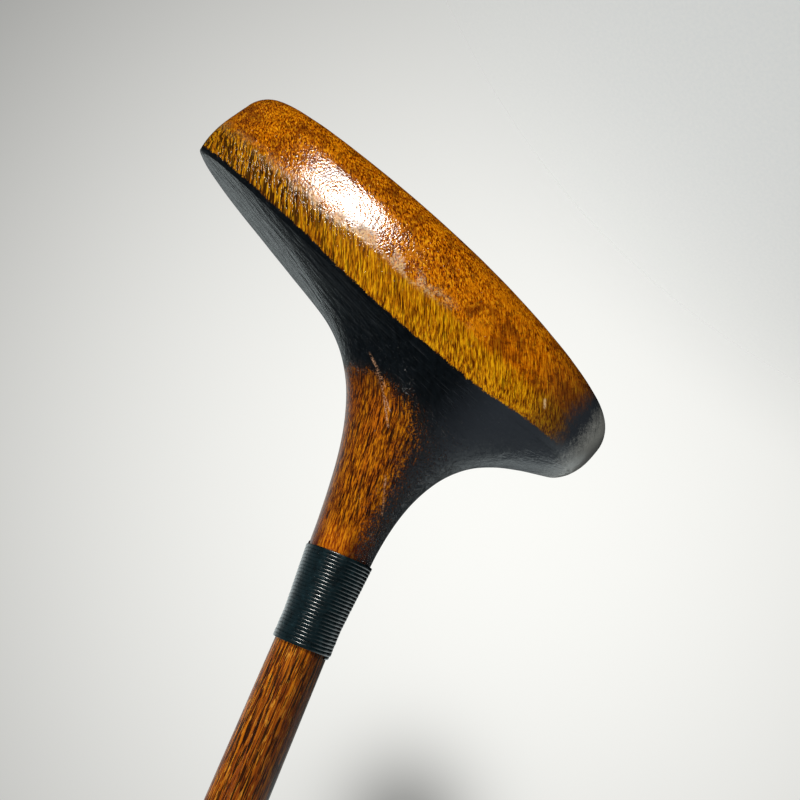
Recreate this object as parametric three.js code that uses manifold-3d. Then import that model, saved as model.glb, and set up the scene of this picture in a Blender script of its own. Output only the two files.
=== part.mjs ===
// A wooden mallet putter on a hickory shaft, as a maker would take it apart:
// the head and its flared neck carved from one block, two lead plugs let into the
// sole, the shaft with its tapered tenon, the waxed twine round the joint, and the
// grip built up from an underlisting, a leather wrap and two end whippings.
//
// Millimetres, +Z up. The origin is the middle of the flat landing of the sole.
// +X runs to the toe, -X to the heel and the player, and the ball is struck towards +Y.
// The shaft lies in the plane Y = 0 and leans to the heel.

import * as THREE from "three";
import { mergeVertices } from "three/addons/utils/BufferGeometryUtils.js";
import Module from "manifold-3d";

// The club as a whole
const club_length = 880; // from the ground to the butt, along the shaft
const lie_degrees = 70.5; // between the ground and the shaft
const axis_foot_x = -5.75; // where the line of the shaft meets the ground
const fit_gap = 0.3; // clearance between two pieces that touch

// The head, seen from above
const toe_reach = 72.8; // from the neck to the tip of the toe
const heel_reach = 42.2; // from the neck to the end of the heel
const back_reach = 14.9; // from the plane of the shaft to the rounded back
const face_reach = 14.0; // and to the face side, before its face is planed flat
const toe_back_fullness = 1.75; // 1 is straight to the tip, 2 is an ellipse, more is squarer
const toe_face_fullness = 1.95;
const heel_back_fullness = 2.7;
const heel_face_fullness = 3.2;
const face_plane = 13.6; // from the plane of the shaft to the foot of the flat face
const face_loft_degrees = 2.5; // how far the flat face leans back

// The head, seen from the back
const crown_height = 28.8; // top edge at its highest
const crown_peak_x = 1.9;
const crown_toe_drop = 2.9; // how far the top edge falls by the toe
const crown_heel_drop = 6.5; // and by the heel
const sole_toe_rise = 1.85; // how far the sole lifts by the toe
const sole_heel_rise = 5.8; // and by the heel
const sole_camber = 0.6; // how far the sole lifts from its middle to its edge
const landing_length = 38; // the flat part the head rests on
const landing_width = 10.5;
const landing_power = 0.7; // of its outline: 1 is an ellipse, less is squarer
const side_bulge = 1.45; // how far the wall swells out below its top edge
const toe_bulge = 2.7;
const heel_bulge = 1.55;
const bulge_power = 3; // more keeps the swell full until nearer the top edge
const toe_draft = 1.55; // how far the toe draws in again towards the sole
const sole_round_height = 6.7; // the rounded edge between wall and sole
const sole_round_depth = 5.75;
const back_round_height = 13; // it is larger at the back, like the bilge of a boat
const back_round_depth = 8.5;

// The sweep of the crown up into the neck, for each of the four directions
const toe_sweep = { edge_share: 0.27, edge_rise: 7.7, root_spread: 3.25, root_height: 30.7 };
const heel_sweep = { edge_share: 0.6, edge_rise: 9.1, root_spread: 3.05, root_height: 39.3 };
const back_sweep = { edge_share: 0.74, edge_rise: 3.8, root_spread: 2.1, root_height: 42.2 };
const face_sweep = { edge_share: 0.78, edge_rise: 4.3, root_spread: 2.1, root_height: 42.2 };

// The joint, measured along the shaft from the ground
const neck_top = 75.2; // where the twine begins
const neck_top_radius = 7.15;
const neck_end = 90.05; // the thin end of the neck, under the twine
const neck_lip = 0.15; // how far the thin end of the neck stands proud of the shaft
const tenon_length = 40;
const tenon_root_radius = 4.7;
const tenon_tip_radius = 3.75;

// The shaft
const shaft_neck_radius = 5.75; // just above the joint
const shaft_grip_radius = 7.2; // where the grip begins
const shaft_butt_radius = 7.8;
const butt_chamfer = 1.0;

// The lead
const lead_radius = 7.5;
const lead_depth = 20;
const lead_recess = 0.4; // how far the lead stays below the wood round it
const lead_toe_x = 24;
const lead_heel_x = -29;
const lead_y = 1.5; // towards the face, where the sole is fuller

// The twine on the joint
const twine_diameter = 0.5;
const twine_turns = 24;
const twine_pitch = 0.875;
const twine_steps = 24; // in one turn
const twine_sides = 6;

// The grip
const grip_length = 270;
const underlisting_thickness = 1.9;
const leather_thickness = 1.7;
const grip_end_thickness = 0.9; // of the whipping at either end
const grip_end_length = 12;
const grip_butt_set_back = 4; // of the leather from the butt of the shaft

// How finely the surfaces are cut
const head_points = 60;
const wall_rings = 5;
const round_rings = 5;
const sweep_rings = 17;
const turned_segments = 40;

const wasm = await Module();
wasm.setup();

const neck_end_radius = shaft_neck_radius + neck_lip;
const lean = THREE.MathUtils.degToRad(90 - lie_degrees);
const loft = THREE.MathUtils.degToRad(face_loft_degrees);
const up_the_shaft = new THREE.Vector3(-Math.sin(lean), 0, Math.cos(lean));
const across_the_shaft = new THREE.Vector3(Math.cos(lean), 0, Math.sin(lean));
const axis_foot = new THREE.Vector3(axis_foot_x, 0, 0);

const wood_dark = new THREE.MeshStandardMaterial({ color: 0x8a4a1c, roughness: 0.3, metalness: 0 });
const hickory = new THREE.MeshStandardMaterial({ color: 0x7a3f1a, roughness: 0.42, metalness: 0 });
const black_twine = new THREE.MeshStandardMaterial({ color: 0x15201f, roughness: 0.45, metalness: 0 });
const poured_lead = new THREE.MeshStandardMaterial({ color: 0x6d6f73, roughness: 0.55, metalness: 0.9 });
const wool_strip = new THREE.MeshStandardMaterial({ color: 0x8d8672, roughness: 0.95, metalness: 0 });
const brown_leather = new THREE.MeshStandardMaterial({ color: 0x3a2418, roughness: 0.6, metalness: 0 });

// Where the line of the shaft is at a height
function axisX(height) {
  return axis_foot_x - height * Math.tan(lean);
}

function mesh(name, geometry, material) {
  const piece = new THREE.Mesh(geometry, material);
  piece.name = name;
  return piece;
}

// A closed body through a stack of rings of equal count, with a point at either end
function skin(first, rings, last) {
  const count = rings[0].length;
  const places = [first, ...rings.flat(), last];
  const corners = [];
  const at = (ring, point) => 1 + ring * count + (point % count);
  for (let i = 0; i < count; i++) corners.push(0, at(0, i + 1), at(0, i));
  for (let ring = 0; ring + 1 < rings.length; ring++) {
    for (let i = 0; i < count; i++) {
      corners.push(at(ring, i), at(ring, i + 1), at(ring + 1, i));
      corners.push(at(ring, i + 1), at(ring + 1, i + 1), at(ring + 1, i));
    }
  }
  const end = places.length - 1;
  const top = rings.length - 1;
  for (let i = 0; i < count; i++) corners.push(end, at(top, i), at(top, i + 1));
  const numbers = places.flatMap((place) => place.toArray());
  const geometry = new THREE.BufferGeometry();
  geometry.setAttribute("position", new THREE.Float32BufferAttribute(numbers, 3));
  geometry.setIndex(corners);
  return geometry;
}

function toSolid(geometry) {
  const bare = geometry.clone();
  bare.deleteAttribute("normal");
  bare.deleteAttribute("uv");
  const merged = mergeVertices(bare);
  const solid = new wasm.Mesh({
    numProp: 3,
    vertProperties: new Float32Array(merged.attributes.position.array),
    triVerts: new Uint32Array(merged.index.array),
  });
  return new wasm.Manifold(solid);
}

function fromSolid(solid) {
  const result = solid.getMesh();
  const geometry = new THREE.BufferGeometry();
  geometry.setAttribute("position", new THREE.BufferAttribute(new Float32Array(result.vertProperties), 3));
  geometry.setIndex(new THREE.BufferAttribute(new Uint32Array(result.triVerts), 1));
  return geometry;
}

// A turned body: [radius, height] pairs from the lower end to the upper end, on the local Z axis
function turned(profile) {
  const points = profile.map(([radius, height]) => new THREE.Vector2(radius, height));
  return new THREE.LatheGeometry(points, turned_segments).rotateX(Math.PI / 2);
}

// A power that keeps the sign, for outlines between a diamond and a rectangle
function signedPower(value, power) {
  return Math.sign(value) * Math.abs(value) ** power;
}

// How much of each direction a point of the outline has: toe, heel, back and face add up to 1
function directions(turn) {
  const along = Math.cos(turn);
  const across = Math.sin(turn);
  return {
    toe: Math.max(0, along) ** 2,
    heel: Math.max(0, -along) ** 2,
    back: Math.max(0, -across) ** 2,
    face: Math.max(0, across) ** 2,
  };
}

// The plan of the head, as a step out from the neck, drawn in by an even margin
function planStep(turn, margin) {
  const along = Math.cos(turn);
  const across = Math.sin(turn);
  const to_toe = along >= 0;
  const to_face = across >= 0;
  const toe_fullness = to_face ? toe_face_fullness : toe_back_fullness;
  const heel_fullness = to_face ? heel_face_fullness : heel_back_fullness;
  const power = 2 / (to_toe ? toe_fullness : heel_fullness);
  const x = signedPower(along, power) * ((to_toe ? toe_reach : heel_reach) - margin);
  const y = signedPower(across, power) * ((to_face ? face_reach : back_reach) - margin);
  return new THREE.Vector3(x, y, 0);
}

// How far a place is from the peak of the crown to the toe or the heel, squared, 0 to 1
function towardsEnd(x, from) {
  const toe_end = axisX(crown_height) + toe_reach - from;
  const heel_end = from - axisX(crown_height) + heel_reach;
  const share = x >= from ? (x - from) / toe_end : (from - x) / heel_end;
  return share ** 2;
}

function crownEdgeHeight(x) {
  const drop = x >= crown_peak_x ? crown_toe_drop : crown_heel_drop;
  return crown_height - drop * towardsEnd(x, crown_peak_x);
}

function soleHeight(x) {
  return (x >= 0 ? sole_toe_rise : sole_heel_rise) * towardsEnd(x, 0);
}

// One point of the wall: margin is inwards from the top edge's plan. The face side is
// planed flat in the middle.
function wallPoint(turn, margin, heightOf) {
  const point = planStep(turn, margin);
  point.x += axisX(crown_height);
  point.z = heightOf(point.x);
  point.y = Math.min(point.y, face_plane - point.z * Math.tan(loft));
  return point;
}

// How far the wall swells out in a direction
function bulge(turn) {
  const part = directions(turn);
  return part.toe * toe_bulge + part.heel * heel_bulge + (part.back + part.face) * side_bulge;
}

function draft(turn) {
  return directions(turn).toe * toe_draft;
}

// The two sizes of the rounded lower edge in a direction
function roundHeight(turn) {
  return sole_round_height + directions(turn).back * (back_round_height - sole_round_height);
}

function roundDepth(turn) {
  return sole_round_depth + directions(turn).back * (back_round_depth - sole_round_depth);
}

// The rings of the head from the landing of the sole up to its top edge
function lowerRings(turns) {
  const rings = [];
  rings.push(turns.map((turn) => {
    const x = signedPower(Math.cos(turn), landing_power) * landing_length / 2;
    const y = signedPower(Math.sin(turn), landing_power) * landing_width / 2;
    return new THREE.Vector3(x, y, 0);
  }));
  for (let i = 0; i <= round_rings; i++) {
    const quarter = (i / round_rings) * Math.PI / 2;
    rings.push(turns.map((turn) => {
      const inset = roundDepth(turn) * (1 - Math.sin(quarter));
      const lift = roundHeight(turn) * (1 - Math.cos(quarter)) + sole_camber;
      return wallPoint(turn, inset + draft(turn) - bulge(turn), (x) => soleHeight(x) + lift);
    }));
  }
  for (let i = 1; i <= wall_rings; i++) {
    const share = i / wall_rings;
    const swell = 1 - share ** bulge_power;
    rings.push(turns.map((turn) => {
      const margin = draft(turn) * (1 - share) - bulge(turn) * swell;
      return wallPoint(turn, margin, (x) => {
        const foot = soleHeight(x) + roundHeight(turn) + sole_camber;
        return foot + (crownEdgeHeight(x) - foot) * share;
      });
    }));
  }
  return rings;
}

// A circle square to the shaft
function shaftRing(turns, along, radius) {
  const centre = axis_foot.clone().addScaledVector(up_the_shaft, along);
  return turns.map((turn) => centre.clone()
    .addScaledVector(across_the_shaft, radius * Math.cos(turn))
    .add(new THREE.Vector3(0, radius * Math.sin(turn), 0)));
}

// The rings of the crown: every line of it leaves the top edge and bends up into the neck
function crownRings(turns, edge) {
  const neck = shaftRing(turns, neck_top, neck_top_radius);
  const lines = turns.map((turn, i) => {
    const step = planStep(turn, 0);
    const part = directions(Math.atan2(step.y, step.x));
    const mix = (key) => part.toe * toe_sweep[key] + part.heel * heel_sweep[key]
      + part.back * back_sweep[key] + part.face * face_sweep[key];
    const start = edge[i];
    const out = new THREE.Vector3(start.x - axisX(start.z), start.y, 0);
    const first_height = start.z + mix("edge_rise");
    const first = out.clone().multiplyScalar(mix("edge_share"));
    first.x += axisX(first_height);
    first.z = first_height;
    const root_height = mix("root_height");
    const root_radius = neck_top_radius + mix("root_spread");
    const second = new THREE.Vector3(
      axisX(root_height) + root_radius * Math.cos(turn), root_radius * Math.sin(turn), root_height);
    return new THREE.CubicBezierCurve3(start, first, second, neck[i]);
  });
  const rings = [];
  for (let ring = 1; ring <= sweep_rings; ring++) {
    rings.push(lines.map((line) => line.getPoint(ring / sweep_rings)));
  }
  return rings;
}

// The head, the neck and the tapered socket in one skin, before the lead is let in
function headBlank() {
  const turns = Array.from({ length: head_points }, (_, i) => (i / head_points) * 2 * Math.PI);
  const lower = lowerRings(turns);
  const crown = crownRings(turns, lower[lower.length - 1]);
  const socket_bottom = neck_end - tenon_length - fit_gap;
  const rings = [
    ...lower,
    ...crown,
    shaftRing(turns, neck_end, neck_end_radius),
    shaftRing(turns, neck_end, tenon_root_radius + fit_gap),
    shaftRing(turns, socket_bottom, tenon_tip_radius + fit_gap),
  ];
  const bottom = axis_foot.clone().addScaledVector(up_the_shaft, socket_bottom);
  return skin(new THREE.Vector3(0, 0, 0), rings, bottom);
}

// A lead plug's body, standing on its lower end, grown by a margin
function leadBody(margin, below) {
  const radius = lead_radius + margin;
  return turned([[0, -below], [radius, -below], [radius, lead_depth + margin], [0, lead_depth + margin]]);
}

function leadSeat(x) {
  return soleHeight(x) + sole_camber + lead_recess;
}

function buildHead() {
  let solid = toSolid(headBlank());
  for (const x of [lead_toe_x, lead_heel_x]) {
    const pocket = leadBody(fit_gap, lead_depth).translate(x, lead_y, leadSeat(x));
    solid = solid.subtract(toSolid(pocket));
  }
  return mesh("mallet_head", fromSolid(solid), wood_dark);
}

function buildLead(name, x) {
  const plug = mesh(name, leadBody(0, 0), poured_lead);
  plug.position.set(x, lead_y, leadSeat(x));
  return plug;
}

// The pieces below lie in a frame of their own: +Z up the shaft, 0 on the ground

function shaftRadius(along) {
  const grip_start = club_length - grip_length;
  if (along <= grip_start) {
    const share = Math.max(0, (along - neck_end) / (grip_start - neck_end));
    return shaft_neck_radius + (shaft_grip_radius - shaft_neck_radius) * share;
  }
  const share = (along - grip_start) / grip_length;
  return shaft_grip_radius + (shaft_butt_radius - shaft_grip_radius) * share;
}

function buildShaft() {
  const shoulder = neck_end + fit_gap;
  const grip_start = club_length - grip_length;
  const butt = club_length - butt_chamfer;
  return mesh("shaft", turned([
    [0, neck_end - tenon_length],
    [tenon_tip_radius, neck_end - tenon_length],
    [tenon_root_radius, shoulder],
    [shaftRadius(shoulder), shoulder],
    [shaftRadius(grip_start), grip_start],
    [shaftRadius(butt), butt],
    [shaftRadius(butt) - butt_chamfer, club_length],
    [0, club_length],
  ]), hickory);
}

// The radius under the twine: the thin end of the neck, and level with it above the bare shaft
function underTwine(along) {
  const share = THREE.MathUtils.clamp((along - neck_top) / (neck_end - neck_top), 0, 1);
  return neck_top_radius + (neck_end_radius - neck_top_radius) * share;
}

// The path of the twine: an even helix, with a straight run of one diameter at either end
function twinePath() {
  const places = [];
  const steps = twine_turns * twine_steps;
  for (let i = 0; i <= steps; i++) {
    const turn = (i / twine_steps) * 2 * Math.PI;
    const along = neck_top + twine_diameter + (i / twine_steps) * twine_pitch;
    const radius = underTwine(along) + fit_gap + twine_diameter / 2;
    places.push(new THREE.Vector3(radius * Math.cos(turn), radius * Math.sin(turn), along));
  }
  const lead_in = places[0].clone().sub(places[1]).setLength(twine_diameter);
  const lead_out = places[steps].clone().sub(places[steps - 1]).setLength(twine_diameter);
  places.unshift(places[0].clone().add(lead_in));
  places.push(places[places.length - 1].clone().add(lead_out));
  return places;
}

// The rings of the twine: each is square to the path, with one corner turned outwards
function twineRings(places) {
  const along = new THREE.Vector3(0, 0, 1);
  return places.map((place, i) => {
    const before = places[Math.max(0, i - 1)];
    const after = places[Math.min(places.length - 1, i + 1)];
    const heading = after.clone().sub(before).normalize();
    const out = heading.clone().cross(along).normalize();
    const side = heading.clone().cross(out).normalize();
    return Array.from({ length: twine_sides }, (_, k) => {
      const turn = (k / twine_sides) * 2 * Math.PI;
      return place.clone()
        .addScaledVector(out, Math.cos(turn) * twine_diameter / 2)
        .addScaledVector(side, Math.sin(turn) * twine_diameter / 2);
    });
  });
}

// The least gap between one turn of the twine and the next, measured on the points of its skin
function leastTwineGap(rings) {
  let least = Infinity;
  const first = 1;
  const last = rings.length - 1 - twine_steps - 1;
  const near = 2;
  for (let i = first; i < last; i++) {
    for (let j = i + twine_steps - near; j <= i + twine_steps + near; j++) {
      for (const a of rings[i]) {
        for (const b of rings[j]) least = Math.min(least, a.distanceTo(b));
      }
    }
  }
  return least;
}

function buildTwine() {
  const places = twinePath();
  const rings = twineRings(places);
  console.log(`neck twine: least gap between turns ${leastTwineGap(rings).toFixed(3)} mm`);
  return mesh("neck_whipping", skin(places[0], rings, places[places.length - 1]), black_twine);
}

// A sleeve round the shaft, between two places, from an inner radius out by a thickness
function sleeve(start, end, innerAt, thickness) {
  return turned([
    [innerAt(start), start],
    [innerAt(start) + thickness, start],
    [innerAt(end) + thickness, end],
    [innerAt(end), end],
    [innerAt(start), start],
  ]);
}

function buildGrip() {
  const start = club_length - grip_length;
  const end = club_length - grip_butt_set_back;
  const listingInner = (along) => shaftRadius(along) + fit_gap;
  const leatherInner = (along) => listingInner(along) + underlisting_thickness + fit_gap;
  const bindingInner = (along) => leatherInner(along) + leather_thickness + fit_gap;
  return [
    mesh("grip_underlisting", sleeve(start, end, listingInner, underlisting_thickness), wool_strip),
    mesh("grip_leather", sleeve(start, end, leatherInner, leather_thickness), brown_leather),
    mesh("grip_lower_whipping",
      sleeve(start, start + grip_end_length, bindingInner, grip_end_thickness), black_twine),
    mesh("grip_upper_whipping",
      sleeve(end - grip_end_length, end, bindingInner, grip_end_thickness), black_twine),
  ];
}

function buildClub() {
  const club = new THREE.Group();
  club.add(buildHead());
  club.add(buildLead("toe_lead_plug", lead_toe_x));
  club.add(buildLead("heel_lead_plug", lead_heel_x));
  const on_the_shaft = new THREE.Group();
  on_the_shaft.position.copy(axis_foot);
  on_the_shaft.rotation.y = -lean;
  on_the_shaft.add(buildShaft(), buildTwine(), ...buildGrip());
  club.add(on_the_shaft);
  return club;
}

export default buildClub();
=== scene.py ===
# %% [markdown]
# # A hickory mallet putter
#
# An old wooden putter, built over a imported CAD model. The CAD model holds the sizes,
# and this lesson gives each piece a finer mesh and a finish.

# %% Load the CAD model
import math

import bpy
import numpy as np
from mathutils import Matrix, Vector, noise


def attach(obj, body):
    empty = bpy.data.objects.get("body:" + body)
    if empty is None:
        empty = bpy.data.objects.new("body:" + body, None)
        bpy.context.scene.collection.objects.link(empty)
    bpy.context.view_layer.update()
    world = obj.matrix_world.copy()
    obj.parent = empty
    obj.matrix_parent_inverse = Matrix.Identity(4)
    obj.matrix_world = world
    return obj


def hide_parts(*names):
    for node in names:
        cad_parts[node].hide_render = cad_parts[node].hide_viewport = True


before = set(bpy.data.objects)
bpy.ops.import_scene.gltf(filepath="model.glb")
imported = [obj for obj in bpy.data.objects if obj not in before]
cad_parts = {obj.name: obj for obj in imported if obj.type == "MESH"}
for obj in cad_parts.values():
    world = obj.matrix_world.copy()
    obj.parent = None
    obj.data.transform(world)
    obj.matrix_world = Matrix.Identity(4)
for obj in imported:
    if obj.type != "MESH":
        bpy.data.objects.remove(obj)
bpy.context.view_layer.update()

# %% [markdown]
# ## Lengths and the line of the shaft
#
# The meshes are worked out in millimetres, and one factor turns them into metres at the
# end. The shaft leans to the heel, and many sizes are taken along it from the ground up.
# So one function gives a place near it: how far along, how far out, which way round.

# %% The line of the shaft
metre = 0.001  # metres in a millimetre
full_turn = 2 * math.pi
club_length, lie = 880.0, 70.5  # along the shaft, and degrees between shaft and ground
lean = math.radians(90 - lie)
shaft_foot = np.array([-5.75, 0.0, 0.0])  # where the line of the shaft meets the ground
up_the_shaft = np.array([-math.sin(lean), 0.0, math.cos(lean)])
to_the_toe = np.array([math.cos(lean), 0.0, math.sin(lean)])
to_the_face = np.array([0.0, 1.0, 0.0])


def round_the_shaft(along, radius, turn):
    """Places at a radius round the shaft's line. Any of the three may be an array."""
    along, radius, turn = np.broadcast_arrays(along, radius, turn)
    return (shaft_foot + along[..., None] * up_the_shaft
            + (radius * np.cos(turn))[..., None] * to_the_toe
            + (radius * np.sin(turn))[..., None] * to_the_face)


def once_round(count):
    """Evenly spaced angles, once round."""
    return np.arange(count) / count * full_turn


print("butt of the shaft, mm:", round_the_shaft(club_length, 0.0, 0.0).round(1))

# %% [markdown]
# ## From rings of points to a mesh
#
# A carved head, a turned shaft and a length of twine are all stacks of rings. One helper
# joins the rings with quads, and another hands the mesh to Blender, says which CAD piece
# it replaces and gives it its finish.

# %% Rings to mesh
sharp_from = 40  # degrees between two faces


def stack(rings, first=None, last=None, looped=False):
    """Points and faces of a skin through rings, closed at first and last or on itself."""
    rings = np.asarray(rings, float)
    levels, count, _ = rings.shape
    points = rings.reshape(-1, 3)
    sides = [(i, (i + 1) % count) for i in range(count)]
    top = (levels - 1) * count
    faces = [(low + i, low + j, low + count + j, low + count + i)
             for low in range(0, top, count) for i, j in sides]
    if first is not None:
        points = np.vstack([points, first])
        faces += [(len(points) - 1, j, i) for i, j in sides]
    if last is not None:
        points = np.vstack([points, last])
        faces += [(len(points) - 1, top + i, top + j) for i, j in sides]
    if looped:
        faces += [(top + i, top + j, j, i) for i, j in sides]
    return points, faces


def new_mesh(name, points, faces, unit=metre):
    mesh = bpy.data.meshes.new(name)
    mesh.from_pydata((np.asarray(points) * unit).tolist(), [], faces)
    return mesh


def new_object(name, data):
    """A mesh, a lamp or a camera, put in the scene."""
    made = bpy.data.objects.new(name, data)
    bpy.context.scene.collection.objects.link(made)
    return made


def make_piece(name, points, faces, material, slot, node, sharp=sharp_from):
    """A piece from places in millimetres, in place of a CAD node."""
    mesh = new_mesh(name, points, faces)
    mesh.validate()
    mesh.shade_smooth()
    mesh.set_sharp_from_angle(angle=math.radians(sharp))
    mesh.materials.append(material)
    piece = new_object(name, mesh)
    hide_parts(node)
    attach(piece, "root")
    print(f"{name}: {len(mesh.vertices)} points")
    return piece


# %% [markdown]
# ## Writing shaders as sums
#
# A graph of thirty nodes is hard to read as code. Here one small class wraps a socket,
# so that a sum on sockets adds the Math nodes by itself.
#
# Most looks begin with a cloud: soft noise from 0 to 1. A step turns part of a range into
# a mask, and fraying moves its edge to and fro, so that no stain ends on a straight line.

# %% A socket that can be used in a sum
class Value:
    """A number that changes over a surface."""

    def __init__(self, finish, socket):
        self.finish, self.socket = finish, socket

    def maths(self, operation, *others):
        numbers = dict(enumerate((self, *others)))
        return self.finish.node("Math", {"operation": operation}, numbers)

    def __rsub__(self, other):
        return (self * -1) + other

    def step(self, start, end):
        """0 before start, 1 after end and smooth between. Start may be above end."""
        return self.finish.node("MapRange", {"interpolation_type": "SMOOTHSTEP"},
                                {"Value": self, "From Min": start, "From Max": end,
                                 "To Min": 0.0, "To Max": 1.0}, "Result")

    def frayed(self, cloud, amount):
        """This number, moved to and fro by a cloud, over an amount in all."""
        return self + (cloud - 0.5) * amount

    def coat(self, mask, *colour):
        """This colour, with another over it where the mask is 1."""
        return self.finish.blend(mask, self, srgb(*colour))


def of_two(operation):
    return lambda value, other: value.maths(operation, other)


for names, operation in (("__add__ __radd__", "ADD"), ("__sub__", "SUBTRACT"),
                         ("__mul__ __rmul__", "MULTIPLY"), ("__truediv__", "DIVIDE"),
                         ("__pow__", "POWER"), ("low", "MINIMUM"), ("high", "MAXIMUM")):
    for name in names.split():
        setattr(Value, name, of_two(operation))


# %% A finish, made of nodes
class Finish:
    """The node tree of a material, or of the world."""

    def __init__(self, tree):
        self.tree = tree
        tree.nodes.clear()

    def node(self, kind, settings=None, sockets=None, output=0):
        """Adds a node and gives its output. A Value among the sockets is linked."""
        made = self.tree.nodes.new("ShaderNode" + kind)
        for name, setting in (settings or {}).items():
            setattr(made, name, setting)
        for name, value in (sockets or {}).items():
            if isinstance(value, Value):
                self.tree.links.new(value.socket, made.inputs[name])
            else:
                made.inputs[name].default_value = value
        return Value(self, made.outputs[output])

    def blend(self, mask, colour, other):
        """One colour where the mask is 0, and the other where it is 1."""
        pair = [c if isinstance(c, Value) else (*c, 1.0) for c in (colour, other)]
        return self.node("Mix", {"data_type": "RGBA"}, {0: mask, 6: pair[0], 7: pair[1]}, 2)

    def mix(self, mask, shader, other):
        """One shader where the mask is 0, and the other where it is 1."""
        return self.node("MixShader", None, {0: mask, 1: shader, 2: other}, "Shader")

    def ramp(self, value, *stops):
        """Colours from 0 to 1. A stop is (place, red, green, blue)."""
        colour = self.node("ValToRGB", sockets={"Fac": value}, output="Color")
        elements = colour.socket.node.color_ramp.elements
        while len(elements) < len(stops):
            elements.new(0.5)
        for element, (place, *parts) in zip(elements, stops):
            element.position, element.color = place, (*srgb(*parts), 1.0)
        return colour

    def place(self, unit=1 / metre):
        """Where a point of the object is, in millimetres."""
        spot = self.node("TexCoord", output="Object")
        return self.node("VectorMath", {"operation": "SCALE"}, {0: spot, "Scale": unit})

    def split(self, vector):
        parts = self.node("SeparateXYZ", sockets={0: vector}).socket.node
        return [Value(self, parts.outputs[axis]) for axis in range(3)]

    def join(self, x, y, z):
        return self.node("CombineXYZ", sockets={0: x, 1: y, 2: z})

    def cloud(self, vector, size, detail=3.0, roughness=0.55):
        """Soft noise from 0 to 1, with lumps of about the size given."""
        sockets = {"Vector": vector, "Scale": 1 / size, "Detail": detail, "Roughness": roughness}
        return self.node("TexNoise", sockets=sockets, output="Fac")

    def specks(self, vector, size):
        """Distance to the nearest of many scattered points, in units of the size."""
        return self.node("TexVoronoi", None, {"Vector": vector, "Scale": 1 / size}, "Distance")

    def bump(self, height, depth=1.0):
        """A normal bent by a height, in units of the depth, which is in millimetres."""
        sockets = {"Height": height, "Distance": depth * metre, "Strength": 1.0}
        return self.node("Bump", sockets=sockets, output="Normal")

    def surface(self, **sockets):
        """The last node, with the sockets' names in plain words."""
        named = {name.replace("_", " ").title().replace("Ior", "IOR"): value
                 for name, value in sockets.items()}
        shader = self.node("BsdfPrincipled", sockets=named, output="BSDF")
        self.node_out(shader, "OutputMaterial")

    def node_out(self, shader, kind):
        end = self.tree.nodes.new("ShaderNode" + kind)
        self.tree.links.new(shader.socket, end.inputs["Surface"])


def new_material(name):
    material = bpy.data.materials.new(name)
    material.use_nodes = True
    return material, Finish(material.node_tree)


def srgb(red, green, blue):
    """A colour of a paint program, turned into the linear light of shaders."""
    parts = [channel / 255 for channel in (red, green, blue)]
    return tuple(c / 12.92 if c <= 0.04045 else ((c + 0.055) / 1.055) ** 2.4 for c in parts)


print("middle grey in linear light:", round(srgb(128, 128, 128)[0], 3))

# %% [markdown]
# ## The head, as a maker would rough it out
#
# The head and its flared neck are one block. From above the head is a boat with a blunt
# heel. A superellipse gives each quarter of that outline its own fullness, from straight
# (1) past an ellipse (2) to square.
#
# From the side the top edge arches, and the sole rises to both ends. These lines are the
# CAD model's own, with many more points, so that the gloss shows no facets.

# %% Outline of the head
toe_reach, heel_reach = 72.8, 42.2  # from the neck to either end
back_reach, face_reach = 14.9, 14.0  # from the plane of the shaft to either side
fullness = {("toe", "back"): 1.75, ("toe", "face"): 1.95,
            ("heel", "back"): 2.7, ("heel", "face"): 3.2}
face_plane, face_loft = 13.6, math.radians(2.5)  # place and tilt of the flat face
crown_height, crown_peak_x = 28.8, 1.9  # highest place of the top edge
crown_toe_drop, crown_heel_drop = 2.9, 6.5  # how far the top edge falls to either end
sole_toe_rise, sole_heel_rise, sole_camber = 1.85, 5.8, 0.6  # how far the sole bends up


def signed_power(value, power):
    return np.sign(value) * np.abs(value) ** power


def line_x(height):
    """Where the line of the shaft is at a height."""
    return shaft_foot[0] - height * math.tan(lean)


def plan_step(turn, margin):
    """A step out from the neck to the outline, drawn in by a margin."""
    along, across = np.cos(turn), np.sin(turn)
    to_toe, to_face = along >= 0, across >= 0
    toe_power = 2 / np.where(to_face, fullness["toe", "face"], fullness["toe", "back"])
    heel_power = 2 / np.where(to_face, fullness["heel", "face"], fullness["heel", "back"])
    power = np.where(to_toe, toe_power, heel_power)
    x = signed_power(along, power) * (np.where(to_toe, toe_reach, heel_reach) - margin)
    y = signed_power(across, power) * (np.where(to_face, face_reach, back_reach) - margin)
    return x, y


def towards_end(x, start):
    """0 at the start and 1 at the toe or heel end, as a square."""
    toe_end = line_x(crown_height) + toe_reach - start
    heel_end = start - line_x(crown_height) + heel_reach
    return np.where(x >= start, (x - start) / toe_end, (start - x) / heel_end) ** 2


def crown_edge_height(x):
    drop = np.where(x >= crown_peak_x, crown_toe_drop, crown_heel_drop)
    return crown_height - drop * towards_end(x, crown_peak_x)


def sole_height(x):
    return np.where(x >= 0, sole_toe_rise, sole_heel_rise) * towards_end(x, 0)


print("head from", line_x(crown_height) - heel_reach, "to", line_x(crown_height) + toe_reach)

# %% [markdown]
# ## The wall and the sole
#
# The walls swell out a little below the top edge. At the back the wall rolls a long way
# under, like the bilge of a boat. On the other side lies the flat face for the ball, cut
# with a soft minimum, so that its edges are eased as they are on an old club.

# %% Rings of the wall
side_bulge, toe_bulge, heel_bulge = 1.45, 2.7, 1.55  # swell of the wall below the edge
toe_draft = 1.55  # the foot of the toe draws in
round_height, round_depth = 6.7, 5.75  # where the wall rolls under, to the face
back_round_height, back_round_depth = 13.0, 8.5  # and at the back
landing_reach, landing_breadth, landing_power = 19, 5.25, 0.7  # the flat of the sole
eased = 0.25  # softness of the face's edge


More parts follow.
